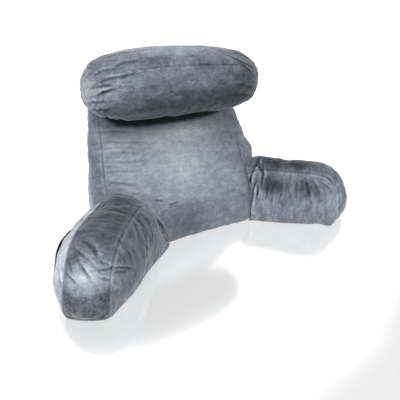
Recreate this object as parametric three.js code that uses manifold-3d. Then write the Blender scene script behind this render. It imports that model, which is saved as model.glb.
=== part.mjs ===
// A backrest pillow: a wedge-shaped stuffed back that leans away from the sitter, two stuffed arms sewn to
// its lower corners and splayed outwards, and a neck roll that rests against the top of the back. The left
// arm has an outside pocket whose mouth is bound with black elastic. Each stuffed piece is a crowned solid
// whose panels meet in drawn-in seams. Millimetres, +Z up, the sitter faces -Y.
import * as THREE from "three";
import { mergeVertices } from "three/addons/utils/BufferGeometryUtils.js";
import Module from "manifold-3d";

const wasm = await Module();
wasm.setup();

// Driving sizes
const SEAM_DEPTH = 3.5; // how far the thread draws a seam in
const SEAM_HALF = 5; // half the width of the groove beside a seam
const SEWN_GAP = 0.45; // left between two pieces that touch
const ARM_SPLAY = THREE.MathUtils.degToRad(36.9); // how far each arm turns out from straight ahead
const FOOT_DRIFT = 13; // how far the left foot's inner edge is packed outwards, the right foot's inwards
const DRIFT_FROM = 100; // where along an arm that drift starts
const DRIFT_TO = 250; // and where it is whole
const FACE_SKEW = 26; // how much further forward the foot of the back is packed on the right
const SKEW_TOP = 150; // the height at which that skew ends
const ROOT_RISE = 8; // how much higher the right arm is stuffed beside the back, and the left one lower
const RISE_AT = 130; // where along an arm that is most
const RISE_REACH = 85;
const FOOTPRINT_Y = 78; // from the arms' meeting point to the middle of the footprint
const GUSSET_SQUARENESS = 5; // how full the back's gusset is right up to its seams
const EAR_AT = 0.62; // where an ear lies, of the way from the middle to the seam
const EAR_WIDTH = 0.19;
const CORNER = 38; // how far the right foot's front corner is packed out on its inner side
const CORNER_FROM = 280; // where along the arm the packing starts
const CORNER_TO = 344; // and where it is whole
const CORNER_HIGH = 1.9; // how near the strip's seam it is fullest, where more is nearer
const OUTER_ROUND = 0.45; // how full an arm's outer panel is up to its seam, where less is fuller
const STRIP_SQUARENESS = 2.2; // how full an arm's top strip is up to its seams

// How finely the surfaces are cut up
const BACK_STEPS = { front: 20, gusset: 7, rear: 12 };
const STRIP_STEPS = 8;
const PANEL_STEPS = [0, 0.07, 0.18, 0.32, 0.47, 0.62, 0.76, 0.88]; // up an arm's side, close where it turns
const POCKET_STEPS = { along: 14, up: 9 };
const ROLL_STEPS = { along: 28, round: 32 };

// Rows of numbers as objects, with the columns' names.
const table = (columns, rows) =>
  rows.map((row) => Object.fromEntries(columns.split(" ").map((column, i) => [column, row[i]])));

// Slices of the back, from the floor up. half, rearHalf: from the middle to the seams of the front and of
// the back panel. front, back: where those seams lie. crown, rear: how far the two panels bulge past their
// seams. flat: how level the front panel is across its middle. ear: how much further it reaches forward
// where an arm is sewn on. side: how far the gusset between the seams bulges. lean: how far the slice sags
// to the right. flare: how much further its right edge stands out than its left.
const BACK_SLICES = table("z half rearHalf front back crown flat ear rear side lean flare", [
  [  0, 258, 250,  70, 256, 62,   5, 12,  4,  8,  0,  0],
  [  8, 270, 260,  68, 268, 64,   5, 12,  6, 14,  0,  0],
  [ 26, 282, 269,  72, 279, 69, 4.8, 14, 10, 24,  0,  0],
  [ 60, 292, 275,  86, 288, 72, 4.4, 20, 16, 32,  1,  0],
  [105, 297, 273, 107, 296, 70, 3.8, 26, 22, 35,  4,  1],
  [150, 298, 263, 129, 304, 64, 3.2, 27, 26, 37,  7,  4],
  [200, 291, 247, 158, 313, 59, 2.7, 14, 28, 38,  9,  9],
  [250, 282, 235, 183, 322, 56, 2.5,  3, 28, 38,  9,  9],
  [300, 273, 226, 206, 331, 53, 2.4,  0, 27, 37,  9,  6],
  [345, 265, 221, 226, 340, 50, 2.4,  0, 25, 34,  9,  5],
  [388, 256, 216, 246, 348, 46, 2.4,  0, 23, 30,  9,  5],
  [424, 244, 208, 263, 354, 41, 2.4,  0, 20, 25,  8,  4],
  [450, 226, 195, 276, 357, 35, 2.4,  0, 16, 20,  7,  3],
  [468, 204, 178, 286, 357, 27, 2.4,  0, 12, 15,  6,  2],
  [478, 180, 158, 296, 352, 17, 2.4,  0,  7,  9,  6,  1],
  [483, 150, 134, 306, 344,  8, 2.4,  0,  3,  5,  6,  0],
]);

// Ribs of an arm, from the back to its front end, where they fan out so that the top strip runs over the
// top and down the end. base: where the rib stands on the floor, along the arm. t, z: where it meets the
// strip's inner seam. tilt: how much higher it meets the outer one. nearIn, nearOut: the floor line of the
// inner and outer side. seamIn, seamOut: the strip's two seams, across the arm. inner, outer: how far the
// side panels bulge. crown: how far the strip does.
const ARM_RIBS = table("base t z tilt nearIn nearOut seamIn seamOut inner outer crown", [
  [-24, -24, 122, 26, 114, 300, 186, 312, -4,  6, 22],
  [ 30,  30, 128, 26, 114, 312, 187, 315, -4, 10, 26],
  [ 70,  70, 136, 24, 115, 326, 190, 317, -2, 16, 27],
  [ 95,  95, 147, 18, 119, 334, 194, 318,  6, 30, 26],
  [125, 125, 159, 10, 127, 342, 198, 320, 15, 48, 23],
  [165, 168, 167,  2, 139, 348, 199, 322, 22, 52, 19],
  [205, 212, 170,  0, 149, 351, 200, 324, 26, 48, 19],
  [240, 256, 173,  0, 158, 354, 200, 324, 27, 43, 19],
  [268, 298, 175,  0, 165, 356, 200, 323, 26, 40, 18],
  [290, 336, 173,  0, 170, 358, 201, 322, 24, 37, 17],
  [306, 367, 163,  0, 173, 359, 203, 321, 21, 36, 18],
  [318, 390, 143,  0, 176, 360, 207, 322, 17, 33, 20],
  [326, 405, 114,  0, 178, 360, 211, 326, 13, 28, 23],
  [332, 413,  82,  0, 180, 360, 215, 331, 10, 22, 25],
  [336, 418,  50,  0, 182, 359, 219, 335,  7, 14, 25],
  [340, 420,  21,  0, 184, 357, 222, 338,  3,  6, 19],
  [344, 413,   0,  0, 186, 355, 222, 337,  0,  0, 12],
]);

// The neck roll. half: half its length. radius: near its ends. swell, arch: how much thicker it is in the
// middle, and how much higher its middle line runs there. endPower, endRound: how square its ends are.
// The place is its middle, and the turn how far it lies off level with the back.
const ROLL = { half: 300, radius: 93, swell: 10, arch: 9, endPower: 5.5, endRound: 0.435 };
const ROLL_PLACE = { x: -16, y: 146, z: 466 };
const ROLL_TURN = THREE.MathUtils.degToRad(2.6);

// The left arm's outside pocket. back, front: its ends along the arm. low: its lower edge. mouthBack,
// mouthFront: how high its mouth is at those ends. thick: its cloth. edge: how far it lies off the arm
// where it is sewn on. bow: how much further the middle of its mouth stands off.
const POCKET = { back: 250, front: 347, low: 22, mouthBack: 139, mouthFront: 101 };
const POCKET_CLOTH = { thick: 2, edge: 0.8, bow: 3 };
const BINDING = { wide: 11, thick: 3 };

// Geometry helpers
const lerp = THREE.MathUtils.lerp;
const bow = (u, power = 2.4, round = 0.8) => Math.pow(Math.max(0, 1 - Math.pow(Math.abs(u), power)), round);

// A table's rows with one more row between each two, on a smooth curve through them.
function withRowsBetween(rows) {
  const more = [rows[0]];
  for (let i = 1; i < rows.length; i++) {
    const [from, to] = [rows[i - 1], rows[i]];
    const before = rows[Math.max(i - 2, 0)];
    const after = rows[Math.min(i + 1, rows.length - 1)];
    const halfway = (key) => (9 * (from[key] + to[key]) - before[key] - after[key]) / 16;
    more.push(Object.fromEntries(Object.keys(to).map((key) => [key, halfway(key)])), to);
  }
  return more;
}

// Places across a panel from -1 to 1, close together beside its two seams.
function across(steps, width) {
  const edge = 1 - (2 * SEAM_HALF) / width;
  const places = [];
  for (let i = 0; i <= steps; i++) places.push(edge * Math.sin((Math.PI / 2) * (-1 + (2 * i) / steps)));
  return places;
}

// Triangles that fill a nearly flat loop, found in the plane that it faces.
function capTriangles(loop) {
  const normal = new THREE.Vector3();
  for (let i = 0; i < loop.length; i++) {
    const a = new THREE.Vector3(...loop[i]);
    normal.add(a.cross(new THREE.Vector3(...loop[(i + 1) % loop.length])));
  }
  const turn = new THREE.Quaternion().setFromUnitVectors(normal.normalize(), new THREE.Vector3(0, 0, 1));
  const flat = loop.map((p) => {
    const q = new THREE.Vector3(...p).applyQuaternion(turn);
    return new THREE.Vector2(q.x, q.y);
  });
  return THREE.ShapeUtils.triangulateShape(flat, []);
}

// A solid from loops of points that go round it anticlockwise, seen from its last loop, with a flat cap at
// each end.
function solidFromLoops(loops) {
  const positions = [];
  const add = (a, b, c) => positions.push(...a, ...b, ...c);
  const count = loops[0].length;
  for (let i = 0; i + 1 < loops.length; i++)
    for (let j = 0; j < count; j++) {
      const k = (j + 1) % count;
      add(loops[i][j], loops[i][k], loops[i + 1][k]);
      add(loops[i][j], loops[i + 1][k], loops[i + 1][j]);
    }
  const first = loops[0];
  const last = loops[loops.length - 1];
  for (const [a, b, c] of capTriangles(first)) add(first[a], first[c], first[b]);
  for (const [a, b, c] of capTriangles(last)) add(last[a], last[b], last[c]);
  return solidFrom(positions);
}

// A solid from loose triangles whose corners are merged.
function solidFrom(positions) {
  const geometry = new THREE.BufferGeometry();
  geometry.setAttribute("position", new THREE.Float32BufferAttribute(positions, 3));
  const merged = mergeVertices(geometry, 1e-3);
  const corners = [];
  for (let i = 0; i < merged.index.count; i += 3) {
    const [a, b, c] = [0, 1, 2].map((k) => merged.index.getX(i + k));
    if (a !== b && b !== c && c !== a) corners.push(a, b, c);
  }
  const mesh = new wasm.Mesh({
    numProp: 3,
    vertProperties: new Float32Array(merged.attributes.position.array),
    triVerts: new Uint32Array(corners),
  });
  return new wasm.Manifold(mesh);
}

function meshFrom(solid, name, material) {
  const { vertProperties, triVerts } = solid.getMesh();
  const geometry = new THREE.BufferGeometry();
  geometry.setAttribute("position", new THREE.BufferAttribute(new Float32Array(vertProperties), 3));
  geometry.setIndex(new THREE.BufferAttribute(new Uint32Array(triVerts), 1));
  geometry.computeVertexNormals();
  const mesh = new THREE.Mesh(geometry, material);
  mesh.name = name;
  return mesh;
}

// One slice of the back, anticlockwise seen from above: front panel, right gusset, back panel, left gusset.
function backSlice({ z, half, rearHalf, front, back, crown, flat, ear, rear, side, lean, flare }, grow) {
  const wide = half + grow;
  const rearWide = rearHalf + grow;
  const nearY = front - grow;
  const farY = back + grow;
  const gusset = (v) => lerp(wide, rearWide, (v + 1) / 2) + side * bow(v, GUSSET_SQUARENESS);
  const between = (v) => lerp(nearY, farY, (v + 1) / 2);
  const skew = FACE_SKEW * Math.max(0, 1 - z / SKEW_TOP);
  const earAt = (u) => ear * Math.exp(-(((Math.abs(u) - EAR_AT) / EAR_WIDTH) ** 2));
  const reach = (u) => (crown + skew * u) * bow(u, flat) + earAt(u);
  const loop = [];
  for (const u of across(BACK_STEPS.front, 2 * wide)) loop.push([u * wide, nearY - reach(u), z]);
  loop.push([wide - SEAM_DEPTH, nearY + SEAM_DEPTH, z]);
  const gussetPlaces = across(BACK_STEPS.gusset, farY - nearY);
  for (const v of gussetPlaces) loop.push([gusset(v), between(v), z]);
  loop.push([rearWide - SEAM_DEPTH, farY - SEAM_DEPTH, z]);
  for (const u of across(BACK_STEPS.rear, 2 * rearWide)) loop.push([-u * rearWide, farY + rear * bow(u), z]);
  loop.push([-rearWide + SEAM_DEPTH, farY - SEAM_DEPTH, z]);
  for (const v of gussetPlaces) loop.push([-gusset(-v), between(-v), z]);
  loop.push([-wide + SEAM_DEPTH, nearY + SEAM_DEPTH, z]);
  return loop.map(([x, y]) => [x + lean + (flare * (1 + x / wide)) / 2, y, z]);
}

const slices = withRowsBetween(BACK_SLICES);
const backSolid = (grow = 0) => solidFromLoops(slices.map((slice) => backSlice(slice, grow)));

const armRibs = withRowsBetween(ARM_RIBS);

// A place in an arm's own axes: along it, across it (away from the sitter) and up. side is -1 on the left.
function armPlace(side, along, out, up) {
  const c = Math.cos(ARM_SPLAY);
  const s = Math.sin(ARM_SPLAY);
  return [side * (s * along + c * out), -c * along + s * out, up];
}

// The side panels of an arm: v runs up a rib from the floor to the seam.
const swellUp = (v, round = 0.8) => Math.pow(Math.sin(Math.PI * Math.pow(v, 0.75)), round);
const alongRib = (rib, v) => lerp(rib.base, rib.t, v);
const outerRib = (rib, v) => lerp(rib.nearOut, rib.seamOut, v) + rib.outer * swellUp(v, OUTER_ROUND);

// One rib of an arm, from the floor on the inner side over the strip to the floor on the outer side.
function armRib(side, rib) {
  const { base, t, tilt, nearIn, seamIn, seamOut, inner, crown } = rib;
  const z = rib.z + side * ROOT_RISE * Math.exp(-(((base - RISE_AT) / RISE_REACH) ** 2));
  const length = Math.hypot(t - base, z);
  const rise = [(t - base) / length, z / length];
  const floorIn = nearIn - side * FOOT_DRIFT * THREE.MathUtils.smoothstep(base, DRIFT_FROM, DRIFT_TO);
  const packed = side > 0 ? CORNER * THREE.MathUtils.smoothstep(base, CORNER_FROM, CORNER_TO) : 0;
  const packedAt = (v) => packed * Math.sin(Math.PI * Math.pow(v, CORNER_HIGH));
  const innerRib = (v) => lerp(floorIn, seamIn, v) - inner * swellUp(v) - packedAt(v);
  const steps = [...PANEL_STEPS, 1 - SEAM_HALF / length];
  const middle = (seamIn + seamOut) / 2;
  const half = (seamOut - seamIn) / 2;
  const points = steps.map((v) => [alongRib(rib, v), innerRib(v), z * v]);
  points.push([t - SEAM_DEPTH * rise[0], seamIn + SEAM_DEPTH, z - SEAM_DEPTH * rise[1]]);
  for (const w of across(STRIP_STEPS, 2 * half)) {
    const lift = crown * bow(w, STRIP_SQUARENESS);
    const seamLine = lerp(z, z + tilt, (w + 1) / 2);
    points.push([t + lift * rise[0], middle + w * half, seamLine + lift * rise[1]]);
  }
  points.push([t - SEAM_DEPTH * rise[0], seamOut - SEAM_DEPTH, z + tilt - SEAM_DEPTH * rise[1]]);
  for (const v of steps.reverse()) points.push([alongRib(rib, v), outerRib(rib, v), (z + tilt) * v]);
  return points.map(([along, out, up]) => armPlace(side, along, out, Math.max(0, up)));
}

// An arm is its ribs, a flat foot along the floor and a cut end inside the back.
function armSolid(side) {
  const ribs = armRibs.map((rib) => armRib(side, rib));
  const last = ribs.length - 1;
  const end = ribs[0].length - 1;
  const positions = [];
  const add = (a, b, c) => positions.push(...(side > 0 ? [...a, ...b, ...c] : [...a, ...c, ...b]));
  for (let i = 0; i < last; i++)
    for (let j = 0; j < end; j++) {
      add(ribs[i][j], ribs[i + 1][j], ribs[i + 1][j + 1]);
      add(ribs[i][j], ribs[i + 1][j + 1], ribs[i][j + 1]);
    }
  const innerLine = ribs.map((rib) => rib[0]);
  const outerLine = ribs.map((rib) => rib[end]).reverse();
  const foot = [...innerLine, ...ribs[last].slice(1, -1), ...outerLine];
  for (const [a, b, c] of capTriangles(foot)) add(foot[a], foot[c], foot[b]);
  for (const [a, b, c] of capTriangles(ribs[0])) add(ribs[0][a], ribs[0][b], ribs[0][c]);
  return solidFrom(positions);
}

// How far out an arm's outer panel lies at a place along it and up it, from the rib that passes through
// that place.
function outerPanel(along, up) {
  const ribAt = (place) => {
    const i = Math.min(Math.floor(place), armRibs.length - 2);
    const [from, to] = [armRibs[i], armRibs[i + 1]];
    return Object.fromEntries(Object.keys(from).map((key) => [key, lerp(from[key], to[key], place - i)]));
  };
  let low = 0;
  let high = armRibs.length - 1;
  for (let step = 0; step < 30; step++) {
    const place = (low + high) / 2;
    const rib = ribAt(place);
    if (rib.z <= up || alongRib(rib, up / rib.z) > along) high = place;
    else low = place;
  }
  const rib = ribAt(low);
  return outerRib(rib, up / rib.z);
}

// The height of the pocket's mouth, and how far the pocket stands off the arm: s runs along it, w up to its
// mouth.
const mouthAt = (s) => lerp(POCKET.mouthBack, POCKET.mouthFront, s);
const standOff = (s, w) =>
  POCKET_CLOTH.edge + POCKET_CLOTH.bow * Math.pow(Math.sin(Math.PI * s), 0.8) * Math.pow(w, 1.5);

// A sheet over the arm's outer panel: one closed loop of its section at each place along the pocket.
function overArm(section) {
  const loops = [];
  for (let i = 0; i <= POCKET_STEPS.along; i++) {
    const s = i / POCKET_STEPS.along;
    const along = lerp(POCKET.back, POCKET.front, s);
    loops.push(section(s, along).map(({ out, up }) => armPlace(-1, along, out, up)));
  }
  return solidFromLoops(loops);
}

function pocketSolid() {
  return overArm((s, along) => {
    const inner = [];
    for (let j = 0; j <= POCKET_STEPS.up; j++) {
      const w = j / POCKET_STEPS.up;
      const up = lerp(POCKET.low, mouthAt(s), w);
      inner.push({ out: outerPanel(along, up) + standOff(s, w), up });
    }
    const outer = inner.map(({ out, up }) => ({ out: out + POCKET_CLOTH.thick, up }));
    return [...inner, ...outer.reverse()];
  });
}

function bindingSolid() {
  return overArm((s, along) => {
    const low = mouthAt(s) + SEWN_GAP;
    const out = outerPanel(along, low) + standOff(s, 1);
    const corner = (step, up) => ({ out: out + step, up });
    const high = low + BINDING.wide;
    return [corner(0, low), corner(0, high), corner(BINDING.thick, high), corner(BINDING.thick, low)];
  });
}

// The neck roll: a tube that fills out and arches towards its middle, with puffed round ends.
function rollSolid() {
  const profile = [];
  for (let i = 0; i <= ROLL_STEPS.along; i++) {
    const u = -Math.cos((Math.PI * i) / ROLL_STEPS.along);
    const full = ROLL.radius + ROLL.swell * (1 - u * u);
    const end = bow(u, ROLL.endPower, ROLL.endRound);
    profile.push(new THREE.Vector2(full * end, u * ROLL.half));
  }
  profile[0].x = 0;
  profile[ROLL_STEPS.along].x = 0;
  const geometry = new THREE.LatheGeometry(profile, ROLL_STEPS.round);
  geometry.deleteAttribute("normal");
  geometry.deleteAttribute("uv");
  geometry.rotateZ(-Math.PI / 2);
  const position = geometry.attributes.position;
  for (let i = 0; i < position.count; i++) {
    const u = position.getX(i) / ROLL.half;
    position.setZ(i, position.getZ(i) + ROLL.arch * (1 - u * u));
  }
  geometry.rotateZ(-ROLL_TURN);
  geometry.translate(ROLL_PLACE.x, ROLL_PLACE.y, ROLL_PLACE.z);
  return solidFrom(Array.from(geometry.toNonIndexed().attributes.position.array));
}

const velour = (color) => new THREE.MeshStandardMaterial({ color, roughness: 0.85, metalness: 0 });
const elastic = new THREE.MeshStandardMaterial({ color: 0x17181a, roughness: 0.7, metalness: 0 });

const pillow = new THREE.Group();
pillow.position.y = -FOOTPRINT_Y;
const grown = backSolid(SEWN_GAP);
const grownBack = grown.add(grown.translate(0, 0, -SEWN_GAP)); // clear of its lower edge too
pillow.add(meshFrom(backSolid(), "back_cushion", velour(0x868e96)));
pillow.add(meshFrom(armSolid(-1).subtract(grownBack), "arm_left", velour(0x7b838b)));
pillow.add(meshFrom(armSolid(1).subtract(grownBack), "arm_right", velour(0x7b838b)));
pillow.add(meshFrom(rollSolid().subtract(grownBack), "neck_roll", velour(0x727a83)));
pillow.add(meshFrom(pocketSolid(), "arm_pocket", velour(0x7b838b)));
pillow.add(meshFrom(bindingSolid(), "pocket_binding", elastic));

export default pillow;
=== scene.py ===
# A backrest pillow in grey velour: a leaning stuffed back, two splayed arms, a neck roll on top of the
# back, and a pocket with an elastic mouth on the outside of the left arm. Sizes are in millimetres where
# a name ends in _MM and in metres elsewhere.
import math

import bmesh
import bpy
import numpy as np
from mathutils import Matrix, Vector, noise
from mathutils.bvhtree import BVHTree
from mathutils.kdtree import KDTree


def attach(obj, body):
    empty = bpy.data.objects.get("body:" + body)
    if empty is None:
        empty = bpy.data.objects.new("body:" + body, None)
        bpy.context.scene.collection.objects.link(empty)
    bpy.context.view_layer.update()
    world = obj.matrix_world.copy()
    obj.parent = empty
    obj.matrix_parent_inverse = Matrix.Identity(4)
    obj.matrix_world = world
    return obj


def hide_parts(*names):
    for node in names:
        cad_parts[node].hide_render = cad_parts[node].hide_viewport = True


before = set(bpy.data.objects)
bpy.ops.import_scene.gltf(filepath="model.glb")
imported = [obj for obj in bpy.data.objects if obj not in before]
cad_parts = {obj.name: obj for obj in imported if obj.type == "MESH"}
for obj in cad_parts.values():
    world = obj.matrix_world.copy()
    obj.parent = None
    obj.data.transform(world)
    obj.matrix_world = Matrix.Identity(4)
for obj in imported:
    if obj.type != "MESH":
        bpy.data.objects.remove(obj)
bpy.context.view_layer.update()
scene = bpy.context.scene

# ---------------------------------------------------------------------------------------------------
# The viewpoint: a normal lens at the left front of the pillow, a little above it.

viewpoint = bpy.data.objects.new("viewpoint", bpy.data.cameras.new("viewpoint"))
viewpoint.data.sensor_width = 36.0
viewpoint.data.lens = 32.47
viewpoint.location = (-0.6278, -0.9338, 0.6218)
viewpoint.rotation_euler = (math.radians(90 - 25.264), 0, math.radians(-34.842))
scene.collection.objects.link(viewpoint)
scene.camera = viewpoint

# ---------------------------------------------------------------------------------------------------
# The back: a front panel and a rear panel of short-pile velour, sewn to a gusset all round and stuffed
# with loose fibre. The seams are turned inside, so each shows as a drawn-in line with small puckers.

MM = 0.001
BACK_GRAIN = 0.0072
BACK_COLUMNS = "z half front rear_half back lean flare"
BACK_SEAMS_MM = [
    (0, 258, 70, 250, 256, 0, 0), (26, 282, 72, 269, 279, 0, 0), (60, 292, 86, 275, 288, 1, 0),
    (105, 297, 107, 273, 296, 4, 1), (150, 298, 129, 263, 304, 7, 4), (200, 291, 158, 247, 313, 9, 9),
    (250, 282, 183, 235, 322, 9, 9), (300, 273, 206, 226, 331, 9, 6), (345, 265, 226, 221, 340, 9, 5),
    (388, 256, 246, 216, 348, 9, 5), (424, 244, 263, 208, 354, 8, 4), (450, 226, 276, 195, 357, 7, 3),
    (468, 204, 286, 178, 357, 6, 2), (478, 180, 296, 158, 352, 6, 1), (483, 150, 306, 134, 344, 6, 0),
]
FOOTPRINT_Y_MM = 78
# the velour's greys, darkest to palest; the tone that picks among them holds the pile's patches and also
# painted light and shade
VELOUR_TONES = [(0.0, "#202429"), (0.25, "#444951"), (0.5, "#6d737c"), (0.75, "#99a0a8"), (1.0, "#c8cdd3")]


def places(mesh):
    """The places of a mesh's vertices."""
    at = np.empty(len(mesh.vertices) * 3, np.float32)
    mesh.vertices.foreach_get("co", at)
    return at.reshape(-1, 3).astype(float)


def facings(mesh):
    """The normals of a mesh's vertices."""
    out = np.empty(len(mesh.vertices) * 3, np.float32)
    mesh.vertices.foreach_get("normal", out)
    return out.reshape(-1, 3).astype(float)


def put(mesh, at):
    """Moves a mesh's vertices to these places."""
    mesh.vertices.foreach_set("co", at.astype(np.float32).ravel())
    mesh.update()


def smooth_rise(value, low, high):
    """0 below low and 1 above high, with a smooth rise between them."""
    t = np.clip((value - low) / (high - low), 0, 1)
    return t * t * (3 - 2 * t)


KNOTS = 997


def ripple(along, pitch, seed):
    """Smooth chance values from -1 to 1 along a line, with one for each pitch."""
    knots = np.random.default_rng(seed).uniform(-1, 1, KNOTS)
    cell = np.floor(along / pitch).astype(int)
    t = along / pitch - cell
    t = t * t * (3 - 2 * t)
    return knots[cell % KNOTS] * (1 - t) + knots[(cell + 1) % KNOTS] * t


def lumps(at, size, seed):
    """Soft lumps of that size, from -1 to 1, as loose filling makes them."""
    away = Vector((seed * 7.3, seed * 3.1, seed * 5.7))
    return np.array([noise.noise(Vector(p) / size + away) for p in at])


def thread(points, step=0.002):
    """A smooth line through these points, as places one step apart."""
    p = np.array(points, float)
    p = np.vstack([2 * p[0] - p[1], p, 2 * p[-1] - p[-2]])
    line = []
    for a, b, c, d in zip(p, p[1:], p[2:], p[3:]):
        t = np.linspace(0, 1, max(2, int(np.linalg.norm(c - b) / step)), endpoint=False)[:, None]
        line.append(0.5 * (2 * b + (c - a) * t + (2 * a - 5 * b + 4 * c - d) * t**2
                           + (3 * b - a - 3 * c + d) * t**3))
    return np.vstack([*line, p[-2:-1]])


def nearest_on(line, at):
    """For each place: how far it is from the line, and how far along the line that is."""
    tree = KDTree(len(line))
    for i, p in enumerate(line):
        tree.insert(p, i)
    tree.balance()
    run = np.concatenate([[0], np.cumsum(np.linalg.norm(np.diff(line, axis=0), axis=1))])
    found = [tree.find(p)[1:] for p in at]
    return np.array([f[1] for f in found]), run[[f[0] for f in found]]


def laid_on(cover, line):
    """The line, moved on to the cover's surface."""
    shell = bmesh.new()
    shell.from_mesh(cover.data)
    tree = BVHTree.FromBMesh(shell)
    shell.free()
    return np.array([tree.find_nearest(p)[0] for p in line])


FAR_ENOUGH = 0.12


def clearance(at, others):
    """How far each place is from the nearest of the other nodes' solids, or 1 m where it is far enough."""
    far = np.full(len(at), 1.0)
    for name in others:
        shell = bmesh.new()
        shell.from_mesh(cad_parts[name].data)
        tree = BVHTree.FromBMesh(shell)
        shell.free()
        for i, p in enumerate(at):
            far[i] = min(far[i], tree.find_nearest(p, FAR_ENOUGH)[3] or far[i])
    return far


def even_cover(node, name, grain):
    """A new piece with the node's shape, in even faces as large as the grain."""
    shell = bmesh.new()
    shell.from_mesh(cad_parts[node].data)
    bmesh.ops.remove_doubles(shell, verts=shell.verts, dist=1e-6)
    mesh = bpy.data.meshes.new(name)
    shell.to_mesh(mesh)
    shell.free()
    cover = bpy.data.objects.new(name, mesh)
    scene.collection.objects.link(cover)
    remesh = cover.modifiers.new("even faces", "REMESH")
    remesh.mode = "VOXEL"
    remesh.voxel_size = grain
    settle(cover)
    return cover


def settle(cover):
    """Makes what the piece's modifiers give its own mesh."""
    name = cover.name
    made = bpy.data.meshes.new_from_object(cover.evaluated_get(bpy.context.evaluated_depsgraph_get()))
    cover.modifiers.clear()
    cover.data = made
    made.name = name


def eased(values, edges, rounds):
    """Values at vertices, averaged with their neighbours' over and over."""
    a, b = edges[:, 0], edges[:, 1]
    count = np.bincount(np.concatenate([a, b]), minlength=len(values))[:, None]
    for _ in range(rounds):
        total = np.stack([np.bincount(np.concatenate([a, b]), np.concatenate([values[b, k], values[a, k]]),
                                      len(values)) for k in range(values.shape[1])], 1)
        values = 0.4 * values + 0.6 * total / count
    return values


SLACK = 0.002  # how far inside the solid's shape the cloth starts
BULGE_CAP = 0.004  # the most that the filling pushes the cloth out
QUICK_CAP = 0.004  # the tallest fold that the cloth keeps
FILLING_PRESSURE = 4
EXTRA_CLOTH = 0.05  # the share by which the cloth is cut larger than its filling
CLOTH_STIFFNESS = 0.1
CLOTH_STEPS = 20
SLOW_ROUNDS = 40


def stuff(cover, held, crumple):
    """Fills the cover as cloth round its filling. held is how firmly each vertex stays where it is. The
    slow bulge is kept to its cap, and the quick folds that the cloth makes are kept, times crumple."""
    start = places(cover.data)
    put(cover.data, start - facings(cover.data) * (SLACK * (1 - held))[:, None])
    start = places(cover.data)
    group = cover.vertex_groups.new(name="held")
    for level in np.unique(np.round(held, 1)):
        chosen = np.flatnonzero(np.round(held, 1) == level)
        group.add(chosen.tolist(), float(level), "REPLACE")
    cloth = cover.modifiers.new("cloth", "CLOTH")
    cloth.settings.vertex_group_mass = "held"
    cloth.settings.use_pressure = True
    cloth.settings.uniform_pressure_force = FILLING_PRESSURE
    cloth.settings.shrink_min = -EXTRA_CLOTH
    cloth.settings.bending_stiffness = CLOTH_STIFFNESS
    cloth.settings.effector_weights.gravity = 0
    cloth.point_cache.frame_start, cloth.point_cache.frame_end = 1, CLOTH_STEPS
    for step in range(1, CLOTH_STEPS + 1):
        scene.frame_set(step)
    moved = places(cover.evaluated_get(bpy.context.evaluated_depsgraph_get()).data) - start
    cover.modifiers.clear()
    cover.vertex_groups.clear()
    scene.frame_set(1)
    edges = np.empty(len(cover.data.edges) * 2, np.int32)
    cover.data.edges.foreach_get("vertices", edges)
    slow = eased(moved, edges.reshape(-1, 2), SLOW_ROUNDS)
    quick = moved - slow
    slow *= np.minimum(1, BULGE_CAP / np.maximum(np.linalg.norm(slow, axis=1), 1e-9))[:, None]
    quick *= np.minimum(crumple, QUICK_CAP / np.maximum(np.linalg.norm(quick, axis=1), 1e-9))[:, None]
    put(cover.data, start + (slow + quick) * (1 - held)[:, None])
    finer = cover.modifiers.new("finer", "SUBSURF")
    finer.levels = finer.render_levels = 1
    settle(cover)


GROOVE_HALF = 0.0030
PINCH_AWAY, PINCH_HALF, SEAM_PAINTED_HIGHLIGHT = 0.006, 0.0026, 0.06  # the painted highlight beside a seam: how far out it runs, how wide and how pale


def sew(at, line, groove, reach, pitch, height, seed):
    """The relief of a seam along the line, and the painted light along it: a groove on the line, and
    puckers that run away from it on both sides, with a painted highlight beside the seam and painted shade
    on its line. A height above 0 gives sharp ridges, one below 0 sharp creases between round ridges."""
    far, along = nearest_on(line, at)
    gather = ripple(along, pitch, seed)
    dies = reach * (0.65 + 0.55 * ripple(along, 2.7 * pitch, seed + 1))
    pucker = (0.3 - 1.1 * np.abs(gather)) * (1 - np.exp(-far / 0.004)) * np.exp(-((far / dies) ** 1.4))
    drawn = 0.75 + 0.35 * ripple(along, 0.017, seed + 2)
    relief = height * pucker - groove * drawn * np.exp(-((far / GROOVE_HALF) ** 2))
    # painted light: a pale painted highlight beside the seam, and painted shade on the seam's line
    painted_highlight = SEAM_PAINTED_HIGHLIGHT * np.exp(-(((far - PINCH_AWAY) / PINCH_HALF) ** 2))
    painted_highlight *= 1 + ripple(along, 0.011, seed + 3)
    return relief, painted_highlight - 0.03 * drawn * np.exp(-((far / PINCH_HALF) ** 2))


RIDGE_SHARE = 0.5  # how tall the ridge beside a fold is, as a share of the fold's depth
RIDGE_AWAY, RIDGE_HALF = 1.8, 1.1  # how far away the ridge is and how wide, in the fold's half widths


def crease(at, facing, folds_mm):
    """The relief of single folds. Each runs from one point to another with a dip along its line and a
    ridge on its left, and bends sideways on its way."""
    relief = np.zeros(len(at))
    for x1, y1, z1, x2, y2, z2, bend, wide, deep in np.array(folds_mm) * MM:
        a, b = np.array([x1, y1, z1]), np.array([x2, y2, z2])
        near = np.flatnonzero(np.linalg.norm(at - (a + b) / 2, axis=1)
                              < np.linalg.norm(b - a) / 2 + 6 * wide)
        p, n = at[near], facing[near]
        t = np.clip((p - a) @ (b - a) / ((b - a) @ (b - a)), 0, 1)
        aside = np.cross(n, (b - a) / np.linalg.norm(b - a))
        offset = p - a - t[:, None] * (b - a)
        d = (offset * aside).sum(1) - bend * 4 * t * (1 - t)
        lifted = np.abs((offset * n).sum(1))
        fade = np.sin(np.pi * np.clip(t, 0.02, 0.98)) ** 0.6 * np.exp(-((lifted / (5 * wide)) ** 2))
        ridge = RIDGE_SHARE * np.exp(-(((d - RIDGE_AWAY * wide) / (RIDGE_HALF * wide)) ** 2))
        relief[near] += deep * fade * (ridge - np.exp(-((d / wide) ** 2)))
    return relief


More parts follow.
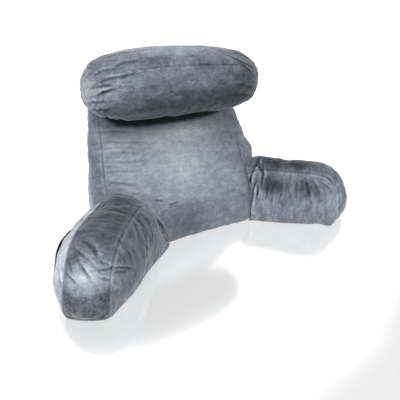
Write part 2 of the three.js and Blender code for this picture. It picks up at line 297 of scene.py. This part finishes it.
def soft_spots(at, spots_mm):
    """The sum of soft spots, each at a place, as wide, deep and high as given, and of that amount."""
    total = np.zeros(len(at))
    for x, y, z, wide, deep, high, amount in spots_mm:
        d = (at - np.array([x, y, z]) * MM) / (np.array([wide, deep, high]) * MM)
        total += amount * np.exp(-(d**2).sum(1))
    return total


FOLD_PAINTED_LIGHT = 80.0  # how much paler the velour is painted for each metre that it stands up in a fold, and darker for each metre that it sinks: painted highlights on ridges, painted shade in dips
DEEPEST = 0.0045
SWELL_SIZE, SWELL_HEIGHT = 0.06, 0.0020
LUMP_SIZES = [(0.022, 0.0008), (0.010, 0.0006)]  # how large the filling's lumps are, and how tall
DRAWN_BACK = 0.0022  # how far a cover is drawn in, sideways only, where another piece lies against it
LEVEL = np.array([1, 1, 0])


def tailor(cover, neighbours, folds_mm, fuller_mm, stitching, pile_and_painted_light, seed):
    """Gives a stuffed cover its fuller spots, folds and seams and the soft lumps of its filling, away from
    the floor and from its neighbours, and keeps its tone as an attribute: the tone it is given, which holds
    the pile's lie and painted light, with painted highlights on its folds' ridges and beside its seams, and
    painted shade in the dips and on the seams."""
    at, facing = places(cover.data), facings(cover.data)
    beside = clearance(at, neighbours)
    free = smooth_rise(beside, 0.001, 0.009) * smooth_rise(at[:, 2], 0.001, 0.01)
    crumpled = crease(at, facing, folds_mm)
    for size, height in LUMP_SIZES:
        crumpled += height * lumps(at, size, seed)
    # painted light along the seams: a painted highlight beside each and painted shade on it
    seam_painted_light = np.zeros(len(at))
    for i, (line, stitches) in enumerate(stitching):
        drawn, shade = sew(at, laid_on(cover, line), *stitches, 10 * seed + 4 * i)
        crumpled += drawn
        seam_painted_light += shade
    swell = SWELL_HEIGHT * lumps(at, SWELL_SIZE, seed) + MM * soft_spots(at, fuller_mm)
    relief = free * (crumpled + swell)
    drawn_back = DRAWN_BACK * (1 - smooth_rise(beside, 0.002, 0.010))
    put(cover.data, at + facing * relief[:, None] - facing * LEVEL * drawn_back[:, None])
    # painted light: the seams' painted highlights and shade, and the folds painted paler on their ridges
    # and darker in their dips
    pile_and_painted_light = pile_and_painted_light + seam_painted_light + FOLD_PAINTED_LIGHT * np.clip(free * crumpled, -DEEPEST, DEEPEST)
    mark = cover.data.attributes.new("pile_and_painted_light", "FLOAT", "POINT")
    mark.data.foreach_set("value", pile_and_painted_light.astype(np.float32))


def linear(colour):
    """An sRGB hex colour as linear RGBA."""
    parts = [int(colour[i:i + 2], 16) / 255 for i in (1, 3, 5)]
    return (*[c / 12.92 if c <= 0.04045 else ((c + 0.055) / 1.055) ** 2.4 for c in parts], 1)


def add_node(tree, kind, inputs, **settings):
    """Adds a node. An input is given a value, or another node's output to link."""
    made = tree.nodes.new("ShaderNode" + kind)
    for key, value in settings.items():
        setattr(made, key, value)
    for key, value in inputs.items():
        if isinstance(value, bpy.types.NodeSocket):
            tree.links.new(value, made.inputs[key])
        else:
            made.inputs[key].default_value = value
    return made


PATCH_SIZE, STREAK_SIZE, FIBRE_SIZE = 0.034, 0.010, 0.0032
PATCHES, STREAKS, FIBRES = 0.15, 0.60, 0.36  # how much each of them changes the velour's tone


def velour(name, turn, stretch, crush):
    """Short-pile polyester velour, knitted and cut. Its pile is crushed into patches and streaks that
    lean this way and that, which the eye sees as paler and deeper grey, and it glows at a glancing angle.
    turn and stretch lay the streaks along the piece, and crush is how strongly it is crushed. Its fibres
    are finer than the photograph shows, so they are drawn coarser."""
    made = bpy.data.materials.new(name)
    made.use_nodes = True
    tree = made.node_tree
    shader = tree.nodes["Principled BSDF"]
    spot = add_node(tree, "TexCoord", {}).outputs["Object"]
    laid = add_node(tree, "Mapping", {"Vector": spot, "Rotation": turn}).outputs[0]
    streaked = add_node(tree, "Mapping", {"Vector": laid, "Scale": stretch}).outputs[0]
    patch = add_node(tree, "TexNoise", {"Vector": streaked, "Scale": 1 / PATCH_SIZE, "Detail": 5.0,
                                        "Roughness": 0.66, "Distortion": 0.5})
    crushed = add_node(tree, "MapRange", {0: patch.outputs["Fac"], 1: 0.36, 2: 0.64, 3: -0.5, 4: 0.5},
                       interpolation_type="SMOOTHSTEP").outputs[0]
    streak = add_node(tree, "TexNoise", {"Vector": streaked, "Scale": 1 / STREAK_SIZE, "Detail": 3.0,
                                         "Roughness": 0.65, "Distortion": 0.6}).outputs["Fac"]
    fibre = add_node(tree, "TexNoise", {"Vector": laid, "Scale": 1 / FIBRE_SIZE,
                                        "Detail": 1.0}).outputs["Fac"]
    # the attribute holds the pile's lie with painted light and shade: painted highlights and shade on folds
    # and seams, and painted shade under the roll
    pile_and_painted_light = add_node(tree, "Attribute", {}, attribute_name="pile_and_painted_light").outputs["Fac"]
    tone = pile_and_painted_light
    for source, amount in ((crushed, PATCHES), (streak, STREAKS), (fibre, FIBRES)):
        tone = add_node(tree, "Math", {0: source, 1: amount * crush, 2: tone},
                        operation="MULTIPLY_ADD").outputs[0]
    tone = add_node(tree, "Math", {0: tone, 1: 0.5 - crush * (STREAKS + FIBRES) / 2}, operation="ADD",
                    use_clamp=True).outputs[0]
    colour = add_node(tree, "ValToRGB", {0: tone})
    for i, (place, grey) in enumerate(VELOUR_TONES):
        stops = colour.color_ramp.elements
        stop = stops[i] if i < 2 else stops.new(place)
        stop.position, stop.color = place, linear(grey)
    tree.links.new(colour.outputs[0], shader.inputs["Base Color"])
    bump = add_node(tree, "Bump", {"Height": fibre, "Strength": 0.4, "Distance": 0.0008})
    tree.links.new(bump.outputs[0], shader.inputs["Normal"])
    shader.inputs["Roughness"].default_value = 0.85
    shader.inputs["Specular IOR Level"].default_value = 0.2
    shader.inputs["Sheen Weight"].default_value = 0.5
    shader.inputs["Sheen Roughness"].default_value = 0.4
    shader.inputs["Sheen Tint"].default_value = linear("#e2e6eb")
    return made


def dress(cover, node, material):
    """Finishes a stuffed piece: smooth faces, its velour, and its place in the frame."""
    for face in cover.data.polygons:
        face.use_smooth = True
    cover.data.materials.clear()
    cover.data.materials.append(material)
    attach(cover, "root")
    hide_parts(node)


HELD_WITHIN, FREE_BEYOND, FREE_OF_PIECES = 0.004, 0.016, 0.022


def firmness(at, seams, others):
    """How firmly the cloth is held at each place: on its seams, on the floor and against other pieces."""
    held = 1 - smooth_rise(at[:, 2], HELD_WITHIN, FREE_BEYOND)
    for line in seams:
        held = np.maximum(held, 1 - smooth_rise(nearest_on(line, at)[0], HELD_WITHIN, FREE_BEYOND))
    return np.maximum(held, 1 - smooth_rise(clearance(at, others), HELD_WITHIN, FREE_OF_PIECES))


SEAM_INSET_MM = 3


def back_seam(side, half, depth):
    """A seam of the back from the floor to its top, on one side."""
    rows = [dict(zip(BACK_COLUMNS.split(), row)) for row in BACK_SEAMS_MM]
    return thread([((side * (row[half] - SEAM_INSET_MM) + row["lean"] + row["flare"] * (1 + side) / 2) * MM,
                    (row[depth] - FOOTPRINT_Y_MM) * MM, row["z"] * MM) for row in rows])


BACK_FOLDS_MM = [
    # x1 y1 z1, x2 y2 z2, bend, wide, deep
    (-170, -31, 147, -139, -33, 136, 2, 3, 3.5),
    (-127, -36, 124, -86, -30, 120, -2, 3, 3.5),
    (-180, -52, 95, -158, -70, 50, 2, 4, 6),
    (-268, 136, 338, -170, 107, 331, 3, 4, 1.2),
    (-276, 127, 316, -119, 79, 297, -4, 4, 1.6),
    (-278, 118, 296, -210, 95, 290, -3, 3.5, 1.4),
    (-280, 112, 280, -150, 70, 264, 4, 4, 2.0),
    (-280, 101, 256, -135, 53, 246, -4, 4, 1.6),
    (-280, 95, 241, -215, 66, 230, 3, 3.5, 1.8),
    (-280, 85, 224, -172, 44, 216, 4, 4, 1.8),
    (-278, 60, 204, -190, 20, 187, -3, 4, 2.2),
    (-276, 45, 186, -230, 18, 180, 2, 3.5, 2.2),
    (-276, 36, 172, -205, 0, 166, 3, 4, 2.2),
    (240, 71, 250, 215, -15, 165, 5, 6, 2),
    (262, 60, 235, 236, 0, 160, 5, 5, 2),
]
# the pile's patches with painted light and shade: paler over the middle and top of the face, darker low on
# its front and at its left edge
BACK_PILE_AND_PAINTED_LIGHT_MM = [
    # x y z, wide deep high, amount
    (-40, 27, 210, 150, 200, 110, 0.27),
    (-230, 97, 270, 60, 200, 110, 0.13),
    (0, 94, 322, 220, 80, 36, 0.31),
    (133, -18, 142, 60, 60, 50, 0.08),
    (-80, -45, 60, 90, 90, 50, -0.19),
    (200, 47, 120, 90, 90, 90, -0.05),
    (-292, 131, 287, 22, 60, 120, -0.13),
]
BACK_FULLER_MM = [
    (325, 100, 200, 40, 60, 30, 9),
]
BACK_NEIGHBOURS = ["arm_left", "arm_right", "neck_roll"]
BACK_STITCHES = (0.0014, 0.045, 0.008, -0.0013)  # groove, and the puckers' reach, pitch and height
PRESSED, PRESSED_REACH = 0.009, 0.011  # the roll's weight presses the front panel in under its edge
SHADE, SHADE_FULL, SHADE_END = 0.8, 0.024, 0.038  # the deep shade under the roll, and how far it runs

back_cover = even_cover("back_cushion", "back_cover", BACK_GRAIN)
back_seams = [laid_on(back_cover, back_seam(side, *ends)) for side in (-1, 1)
              for ends in (("half", "front"), ("rear_half", "back"))]
stuff(back_cover, firmness(places(back_cover.data), back_seams, BACK_NEIGHBOURS), 0.8)
at, facing = places(back_cover.data), facings(back_cover.data)
from_roll = clearance(at, ["neck_roll"])
in_front = smooth_rise(-at[:, 1], -0.147, -0.107)
off_corner = smooth_rise(at[:, 0], -0.2, -0.1)
pressed = PRESSED * np.exp(-((from_roll / PRESSED_REACH) ** 2)) * in_front * off_corner
put(back_cover.data, at - facing * pressed[:, None])
shaded = (1 - smooth_rise(from_roll, SHADE_FULL, SHADE_END)) * smooth_rise(-at[:, 1], -0.19, -0.15)
tailor(back_cover, BACK_NEIGHBOURS, BACK_FOLDS_MM, BACK_FULLER_MM,
       [(line, BACK_STITCHES) for line in back_seams], soft_spots(at, BACK_PILE_AND_PAINTED_LIGHT_MM) - SHADE * shaded, 1)
dress(back_cover, "back_cushion", velour("velour of the back", (0, 0, 0), (0.4, 1, 1), 0.45))

# ---------------------------------------------------------------------------------------------------
# The arms: each has an inner and an outer panel with a strip sewn between them, which runs over the top
# and down the front end. They are stuffed like the back, and sewn to it where it swells out to meet them.

ARM_GRAIN = 0.0052
ARM_SPLAY = math.radians(36.9)
ROOT_RISE_MM = 8
ARM_STITCHES = (0.0014, 0.026, 0.006, -0.0015)
LOW_ZONE = (0.080, 0.087)  # where the strip's pile changes its lie near the floor
LOW_MOTTLE, MOTTLE_SIZE = 0.26, 0.004
ARM_SEAMS_MM = [  # along the arm, height of the inner seam, outer seam above it, inner and outer across it
    (30, 128, 26, 187, 315), (95, 147, 18, 194, 318), (125, 159, 10, 198, 320), (168, 167, 2, 199, 322),
    (212, 170, 0, 200, 324), (256, 173, 0, 200, 324), (298, 175, 0, 200, 323), (336, 173, 0, 201, 322),
    (367, 163, 0, 203, 321), (390, 143, 0, 207, 322), (405, 114, 0, 211, 326), (413, 82, 0, 215, 331),
    (418, 50, 0, 219, 335), (420, 21, 0, 222, 338), (420, 0, 0, 222, 337),
]


def arm_seam(side, inner):
    """The seam of an arm between its strip and its inner or outer panel, from the back to the floor."""
    line = []
    for t, z, tilt, seam_in, seam_out in ARM_SEAMS_MM:
        z += side * ROOT_RISE_MM * math.exp(-(((t - 130) / 85) ** 2))
        out, up = (seam_in + 2, z) if inner else (seam_out - 2, z + tilt)
        line.append((side * (math.sin(ARM_SPLAY) * t + math.cos(ARM_SPLAY) * out) * MM,
                     (-math.cos(ARM_SPLAY) * t + math.sin(ARM_SPLAY) * out - FOOTPRINT_Y_MM) * MM, up * MM))
    return thread(line)


ARMS = {
    "left": {
        "side": -1,
        "seed": 2,
        "panels": (-0.05, -0.16, 0.29, -0.29),  # painted tones of the inner panel, the strip, the outer panel, and the strip low on the front: the pile's lie and painted light and shade
        "neighbours": ["back_cushion", "arm_pocket", "pocket_binding"],
        "folds_mm": [
            (-467, -196, 171, -437, -265, 135, 4, 3, 4),
            (-441, -261, 139, -402, -267, 133, -2, 3, 4),
            (-498, -211, 127, -484, -248, 110, 2, 3, 4),
            (-470, -231, 150, -455, -265, 118, 2, 3.4, 3),
            (-468, -212, 165, -457, -268, 108, 3, 3, 2.5),
            (-446, -188, 183, -433, -241, 167, 3, 3.2, 2.5),
            (-428, -214, 182, -435, -258, 148, 2, 3, 2),
            (-429, -257, 152, -403, -267, 131, 2, 3, 3),
            (-403, -267, 131, -350, -248, 94, 3, 3, 4),
            (-406, -271, 121, -368, -257, 99, 2, 3, 3.5),
            (-442, -269, 120, -416, -275, 106, 2, 3, 3),
            (-438, -189, 186, -428, -255, 156, 3, 4, 2.5),
            (-361, -237, 154, -350, -245, 105, 3, 3.4, 2.5),
            (-257, -85, 155, -235, -120, 106, 4, 4, 2.5),
            (-295, -128, 172, -300, -185, 128, 4, 4, 2),
            (-237, -113, 116, -248, -154, 75, 4, 4, 2),
            (-486, -209, 148, -486, -230, 133, 1, 3, 3),
            (-505, -184, 124, -510, -208, 79, 2, 3.4, 3),
        ],
        # the pile's patches with painted light and shade: darker on the top and inner side, paler on the
        # front end
        "pile_and_painted_light_mm": [
            (-335, -95, 190, 80, 90, 60, -0.22),
            (-376, -247, 141, 35, 35, 35, -0.16),
            (-280, -160, 120, 60, 90, 40, -0.20),
            (-369, -251, 77, 50, 50, 40, -0.10),
            (-462, -265, 122, 64, 60, 44, 0.50),
            (-440, -270, 25, 80, 60, 45, 0.12),
        ],
        "fuller_mm": [
            (-212, -75, 115, 40, 40, 38, 13),
        ],
    },
    "right": {
        "side": 1,
        "seed": 3,
        "panels": (0.03, -0.1, 0.1, 0.0),
        "neighbours": ["back_cushion"],
        "folds_mm": [
            (279, -21, 194, 221, -44, 155, 4, 4, 6),
            (222, -42, 154, 201, -61, 119, -3, 4, 6),
            (259, -54, 186, 223, -91, 129, 4, 4, 6),
            (264, -26, 191, 239, -81, 159, -4, 4, 5),
            (216, -81, 127, 196, -99, 79, 3, 3.5, 6),
            (218, -72, 135, 191, -83, 86, -3, 4, 6),
            (195, -78, 93, 167, -93, 38, 3, 4, 6),
            (323, -197, 158, 314, -241, 85, 3, 3.4, 3),
            (307, -181, 154, 284, -202, 96, -3, 3.4, 2.5),
            (274, -169, 124, 268, -192, 84, 3, 3.4, 2),
            (339, -218, 155, 337, -256, 114, 3, 3.4, 3),
            (356, -243, 152, 370, -268, 135, 2, 3, 3.5),
            (263, -151, 128, 243, -161, 87, 3, 3.4, 2),
            (236, -110, 131, 219, -122, 94, 3, 3.4, 2.5),
            (379, -238, 171, 396, -268, 136, 2, 3, 2.5),
        ],
        # the pile's patches with painted shade: darker on the top and the upper inner side
        "pile_and_painted_light_mm": [
            (320, -90, 196, 100, 100, 16, -0.40),
            (249, -125, 130, 40, 50, 28, -0.40),
            (320, -212, 130, 32, 40, 28, -0.34),
            (344, -266, 103, 40, 40, 40, 0.05),
            (439, -269, 98, 50, 50, 60, 0.03),
        ],
        "fuller_mm": [
            (252, -13, 180, 30, 40, 20, 5),
        ],
    },
}


def across_arm(at, side):
    """How far across an arm each place is, from its inner side to its outer."""
    return side * math.cos(ARM_SPLAY) * at[:, 0] + math.sin(ARM_SPLAY) * (at[:, 1] + FOOTPRINT_Y_MM * MM)


def panel_pile_and_painted_light(at, side, seams, inner, strip, outer, low):
    """The tone of an arm's three panels, with a clean change at each seam, and across the strip where it
    comes down near the floor. It stands for how the pile is brushed on each, and is also painted light and
    shade: the strip darker and the outer panel paler."""
    past = []
    for line in seams:
        tree = KDTree(len(line))
        for i, p in enumerate(line):
            tree.insert(p, i)
        tree.balance()
        beside = np.array([tree.find(p)[0] for p in at])
        past.append(smooth_rise(across_arm(at, side) - across_arm(beside, side), -0.003, 0.003))
    near_floor = 1 - smooth_rise(at[:, 2], *LOW_ZONE)
    strip = strip + (low - strip + LOW_MOTTLE * lumps(at, MOTTLE_SIZE, 9)) * near_floor
    return inner + (strip - inner) * past[0] + (outer - strip) * past[1]


covers = {}
for hand, arm in ARMS.items():
    node, side = "arm_" + hand, arm["side"]
    cover = even_cover(node, node + "_cover", ARM_GRAIN)
    seams = [laid_on(cover, arm_seam(side, inner)) for inner in (True, False)]
    stuff(cover, firmness(places(cover.data), seams, arm["neighbours"]), 0.7)
    at = places(cover.data)
    pile_and_painted_light = panel_pile_and_painted_light(at, side, seams, *arm["panels"]) + soft_spots(at, arm["pile_and_painted_light_mm"])
    tailor(cover, arm["neighbours"], arm["folds_mm"], arm["fuller_mm"],
           [(line, ARM_STITCHES) for line in seams], pile_and_painted_light, arm["seed"])
    dress(cover, node, velour("velour of the " + hand + " arm", (0, 0, -side * ARM_SPLAY), (0.35, 1, 0.35),
                              0.85))
    covers[hand] = cover

# ---------------------------------------------------------------------------------------------------
# The pocket: one thickness of velour on the outside of the left arm, sewn down on three sides. It stands
# a little off the arm towards its open mouth, which slopes down to the front.

POCKET_MM = {"back": 250, "front": 347, "low": 22, "mouth_back": 133, "mouth_front": 107}
POCKET_CLOTH = 0.0016
POCKET_FACES = (60, 70)
POCKET_STITCHED_MM, STITCHES_HALF_MM = 6, 1.6  # the stitching is so far inside the pocket's edges
POCKET_GAP, POCKET_GAPE = 0.0010, 0.0065  # how far the pocket stands off the arm, and its mouth more
POCKET_WRINKLE = 0.0008


def over_left_arm(t_mm, up_mm, off):
    """A place on the left arm's outer panel, so far along the arm and up it, and so far off its cloth."""
    out_of = Vector((-math.cos(ARM_SPLAY), math.sin(ARM_SPLAY), 0))
    start = Vector((-math.sin(ARM_SPLAY) * t_mm * MM, (-math.cos(ARM_SPLAY) * t_mm - FOOTPRINT_Y_MM) * MM,
                    up_mm * MM)) + 0.6 * out_of
    hit, facing, _, _ = left_arm_shape.ray_cast(start, -out_of)
    return hit + facing * off


def mouth(s):
    """The height of the pocket's mouth, so far along the pocket."""
    return POCKET_MM["mouth_back"] + (POCKET_MM["mouth_front"] - POCKET_MM["mouth_back"]) * s


shell = bmesh.new()
shell.from_mesh(covers["left"].data)
left_arm_shape = BVHTree.FromBMesh(shell)
shell.free()
sheet = bmesh.new()
bmesh.ops.create_grid(sheet, x_segments=POCKET_FACES[0], y_segments=POCKET_FACES[1], size=0.5)
pile_and_painted_light_layer = sheet.verts.layers.float.new("pile_and_painted_light")
for vert in sheet.verts:
    s, w = vert.co.x + 0.5, vert.co.y + 0.5
    t = POCKET_MM["back"] + (POCKET_MM["front"] - POCKET_MM["back"]) * s
    up = POCKET_MM["low"] + (mouth(s) - POCKET_MM["low"]) * w
    loose = math.sin(math.pi * s) ** 0.8 * w**1.5
    wrinkle = noise.noise(Vector((s * 4, w * 2.5, 3.0))) * min(1, 12 * s, 12 * (1 - s), 12 * w)
    inset = min((t - POCKET_MM["back"]), POCKET_MM["front"] - t, up - POCKET_MM["low"])
    stitched = math.exp(-(((inset - POCKET_STITCHED_MM) / STITCHES_HALF_MM) ** 2))
    # paler where the wrinkles stand, darker along the stitched row, and painted shadow along the pocket's
    # edges where it stands off the arm
    vert[pile_and_painted_light_layer] = 0.12 + 0.12 * wrinkle - 0.30 * stitched - 0.2 * math.exp(-((inset / 1.5) ** 2))
    stand = POCKET_GAP + POCKET_GAPE * loose + POCKET_WRINKLE * (1 + wrinkle) * (1 - stitched)
    vert.co = over_left_arm(t, up, POCKET_CLOTH / 2 + stand)
bmesh.ops.recalc_face_normals(sheet, faces=sheet.faces)
pocket_cloth = bpy.data.meshes.new("pocket_cloth")
sheet.to_mesh(pocket_cloth)
sheet.free()
pocket = bpy.data.objects.new("pocket_cloth", pocket_cloth)
scene.collection.objects.link(pocket)
thick = pocket.modifiers.new("thickness", "SOLIDIFY")
thick.thickness, thick.offset = POCKET_CLOTH, 0
settle(pocket)
dress(pocket, "arm_pocket", velour("velour of the pocket", (0, 0, ARM_SPLAY), (0.4, 1, 0.4), 0.7))

# ---------------------------------------------------------------------------------------------------
# The binding: black ribbed elastic, folded over the edge of the pocket's mouth and stitched through. It
# draws the mouth in, so it lies in small gathers and stands off the arm in the middle.

BINDING_ABOVE_MM, BINDING_WIDE_MM = 1.6, 11  # how far above the pocket's cloth it starts, and its width
BINDING_THICK = 0.0026
BINDING_FACES = (96, 12)
BINDING_GAP, BINDING_GAPE = 0.0004, 0.0080
GATHERS, GATHER_HEIGHT = 26, 0.0006
RIB_PITCH, YARN_SIZE = 0.0016, 0.002

strip = bmesh.new()
bmesh.ops.create_grid(strip, x_segments=BINDING_FACES[0], y_segments=BINDING_FACES[1], size=0.5)
for vert in strip.verts:
    s, w = vert.co.x + 0.5, vert.co.y + 0.5
    t = POCKET_MM["back"] + (POCKET_MM["front"] - POCKET_MM["back"]) * s
    up = mouth(s) + BINDING_ABOVE_MM + BINDING_WIDE_MM * w
    stand = BINDING_GAP + BINDING_GAPE * math.sin(math.pi * s) ** 0.8 * (1 - 0.2 * w)
    gathered = GATHER_HEIGHT * math.sin(2 * math.pi * GATHERS * s) * math.sin(math.pi * w)
    vert.co = over_left_arm(t, up, BINDING_THICK / 2 + stand + gathered)
bmesh.ops.recalc_face_normals(strip, faces=strip.faces)
binding_cloth = bpy.data.meshes.new("pocket_elastic")
strip.to_mesh(binding_cloth)
strip.free()
binding = bpy.data.objects.new("pocket_elastic", binding_cloth)
scene.collection.objects.link(binding)
thick = binding.modifiers.new("thickness", "SOLIDIFY")
thick.thickness, thick.offset = BINDING_THICK, 0
settle(binding)
for face in binding.data.polygons:
    face.use_smooth = True


def ribbed_elastic():
    """Black woven elastic. Its rubber threads stand up as fine ribs along the strip, and its yarn is dull
    with a slight shine. The ribs are drawn 1.6 mm apart, wider than the real ones."""
    made = bpy.data.materials.new("black ribbed elastic")
    made.use_nodes = True
    tree = made.node_tree
    shader = tree.nodes["Principled BSDF"]
    spot = add_node(tree, "TexCoord", {}).outputs["Object"]
    ribs = add_node(tree, "TexWave", {"Vector": spot, "Scale": 1 / (2 * math.pi * RIB_PITCH),
                                      "Distortion": 0.6}, bands_direction="Z").outputs["Fac"]
    yarn = add_node(tree, "TexNoise", {"Vector": spot, "Scale": 1 / YARN_SIZE,
                                       "Detail": 2.0}).outputs["Fac"]
    tone = add_node(tree, "Math", {0: ribs, 1: yarn}, operation="MULTIPLY").outputs[0]
    colour = add_node(tree, "Mix", {0: tone, 6: linear("#0e0f12"), 7: linear("#2b2e33")}, data_type="RGBA")
    tree.links.new(colour.outputs[2], shader.inputs["Base Color"])
    bump = add_node(tree, "Bump", {"Height": ribs, "Strength": 0.6, "Distance": 0.0004})
    tree.links.new(bump.outputs[0], shader.inputs["Normal"])
    shader.inputs["Roughness"].default_value = 0.65
    return made


binding.data.materials.clear()
binding.data.materials.append(ribbed_elastic())
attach(binding, "root")
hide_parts("pocket_binding")

# ---------------------------------------------------------------------------------------------------
# The neck roll: a tube of velour with one long seam, gathered on to a round disc at each end, stuffed
# fuller than the back and held on the back's top edge.

ROLL_GRAIN = 0.0052
ROLL_MIDDLE_MM = (-16, 68, 466)
ROLL_TURN = math.radians(2.6)
ROLL_ARCH_MM = 9
ROLL_END_MM = 279
ROLL_END_RADIUS_MM = 58
ROLL_SEAM_ANGLE = math.radians(148)
ROLL_SEAM_RADIUS_MM = 100
ROLL_END_STITCHES = (0.0010, 0.050, 0.008, 0.0042)
ROLL_SEAM_STITCHES = (0.0010, 0.025, 0.007, -0.0012)


def on_roll(along_mm, radius_mm, angle):
    """A place on the roll: along its length, and round it from straight back over its top."""
    lift = ROLL_ARCH_MM * (1 - (along_mm / 300) ** 2)
    x, y, z = along_mm, radius_mm * math.cos(angle), radius_mm * math.sin(angle) + lift
    cx, cy, cz = ROLL_MIDDLE_MM
    return ((cx + math.cos(ROLL_TURN) * x + math.sin(ROLL_TURN) * z) * MM, (cy + y) * MM,
            (cz - math.sin(ROLL_TURN) * x + math.cos(ROLL_TURN) * z) * MM)


ROLL_FOLDS_MM = [
    (-295, 22, 485, -250, -5, 489, 2, 3.2, 4),
    (-300, 23, 461, -255, -4, 480, 2, 3.2, 5),
    (-308, 51, 443, -270, 9, 449, 2, 3.2, 4),
    (-300, 49, 423, -262, 6, 434, -2, 3.2, 3),
    (-291, 14, 474, -250, -6, 484, -2, 3, 3),
    (-291, 35, 512, -233, 9, 529, 2, 3.4, 3),
    (-288, 19, 494, -219, -7, 512, 3, 3.4, 3),
    (-252, 56, 551, -157, 43, 568, 4, 4, 2.5),
    (-245, 15, 530, -175, 9, 546, 4, 4, 3),
    (-240, -5, 503, -186, -10, 519, 3, 4, 2.5),
    (155, 18, 560, 224, 6, 532, 2, 3.2, 4.5),
    (124, -1, 550, 205, -16, 516, -2, 3.2, 4.5),
    (149, -13, 536, 207, -26, 493, 2, 3.2, 4),
    (175, 35, 563, 240, 30, 530, 2, 3.2, 4),
    (115, -38, 470, 218, -23, 448, 3, 4, 2),
    (114, -32, 439, 214, -15, 425, 3, 4, 2),
]
# the pile's patches with painted light and shade: paler on the top and the left end's rim, darker on the
# lower front, and deep painted shadow on the underside where it lies on the back
ROLL_PILE_AND_PAINTED_LIGHT_MM = [
    (-62, 29, 572, 150, 90, 22, 0.15),
    (-237, 24, 540, 50, 50, 30, -0.08),
    (-115, 3, 541, 45, 40, 18, -0.17),
    (24, -16, 528, 60, 40, 18, -0.19),
    (-120, -28, 471, 80, 60, 40, -0.06),
    (200, -33, 470, 120, 100, 90, -0.26),
    (-20, -33, 420, 260, 100, 45, -0.32),
    (-310, 58, 480, 22, 60, 60, 0.18),
    (-268, 10, 505, 60, 60, 50, 0.10),
    (-120, 40, 374, 190, 45, 16, -0.8),
]

roll_cover = even_cover("neck_roll", "neck_roll_cover", ROLL_GRAIN)
ends = [thread([on_roll(s * ROLL_END_MM, ROLL_END_RADIUS_MM, math.radians(a)) for a in range(0, 361, 15)])
        for s in (-1, 1)]
long_seam = thread([on_roll(x, ROLL_SEAM_RADIUS_MM, ROLL_SEAM_ANGLE) for x in range(-240, 250, 40)])
stuff(roll_cover, firmness(places(roll_cover.data), ends, ["back_cushion"]), 1.0)
tailor(roll_cover, ["back_cushion"], ROLL_FOLDS_MM, [],
       [(ends[0], ROLL_END_STITCHES), (ends[1], ROLL_END_STITCHES), (long_seam, ROLL_SEAM_STITCHES)],
       soft_spots(places(roll_cover.data), ROLL_PILE_AND_PAINTED_LIGHT_MM), 4)
dress(roll_cover, "neck_roll", velour("velour of the roll", (0, ROLL_TURN, 0), (0.45, 1, 1), 0.8))

# ---------------------------------------------------------------------------------------------------
# The room: a glossy white sheet lies under the pillow and shows its reflection, and sweeps up into a paper
# lit by lamps of its own. The main light comes from above and from the left of the viewpoint.

SWEEP_MM = [(-4000, 0), (2200, 0), (2500, 40), (2750, 150), (2950, 350), (3050, 700), (3100, 12000)]
PAPER_HALF_WIDTH = 12
PAPER_WHITE = "#7d7d7d"
FLOOR_GLOW, BACKDROP_GLOW = 0.56, 1.0
LAMP_STRENGTH, LAMP_SPREAD = 2.6, 35
ROOM_LIGHT = 0.38

room = bmesh.new()
for start, end in zip(SWEEP_MM, SWEEP_MM[1:]):
    strip = [room.verts.new((x, y * MM, z * MM)) for x, (y, z) in
             ((-PAPER_HALF_WIDTH, start), (PAPER_HALF_WIDTH, start),
              (PAPER_HALF_WIDTH, end), (-PAPER_HALF_WIDTH, end))]
    room.faces.new(strip)
bmesh.ops.remove_doubles(room, verts=room.verts, dist=MM)
paper = bpy.data.meshes.new("paper")
room.to_mesh(paper)
room.free()
for face in paper.polygons:
    face.use_smooth = True
    face.material_index = 0 if face.center.z < MM else 1
sweep = bpy.data.objects.new("paper", paper)
scene.collection.objects.link(sweep)


def lit_paper(name, glow, roughness, ior):
    """White paper under even lamps, which bring it to full white. The floor's part is varnished, so it
    mirrors the pillow weakly, and the upright part is matt."""
    made = bpy.data.materials.new(name)
    made.use_nodes = True
    surface = made.node_tree.nodes["Principled BSDF"]
    surface.inputs["Base Color"].default_value = linear(PAPER_WHITE)
    surface.inputs["Roughness"].default_value = roughness
    surface.inputs["IOR"].default_value = ior
    surface.inputs["Emission Color"].default_value = (1, 1, 1, 1)
    surface.inputs["Emission Strength"].default_value = glow
    return made


paper.materials.append(lit_paper("varnished white paper", FLOOR_GLOW, 0.13, 3.4))
paper.materials.append(lit_paper("matt white paper", BACKDROP_GLOW, 0.9, 1.4))

world = bpy.data.worlds.new("studio")
world.use_nodes = True
world.node_tree.nodes["Background"].inputs["Color"].default_value = (0.96, 0.98, 1, 1)
world.node_tree.nodes["Background"].inputs["Strength"].default_value = ROOM_LIGHT
scene.world = world
scene.view_settings.view_transform = "Standard"


def soft_sun(name, towards, strength, spread):
    """A broad even lamp, far away, that shines in one direction."""
    lamp = bpy.data.objects.new(name, bpy.data.lights.new(name, "SUN"))
    lamp.data.energy = strength
    lamp.data.angle = math.radians(spread)
    lamp.rotation_euler = Vector(towards).to_track_quat("-Z", "Y").to_euler()
    scene.collection.objects.link(lamp)


soft_sun("main light", (0.45, 0.75, -1.0), LAMP_STRENGTH, LAMP_SPREAD)
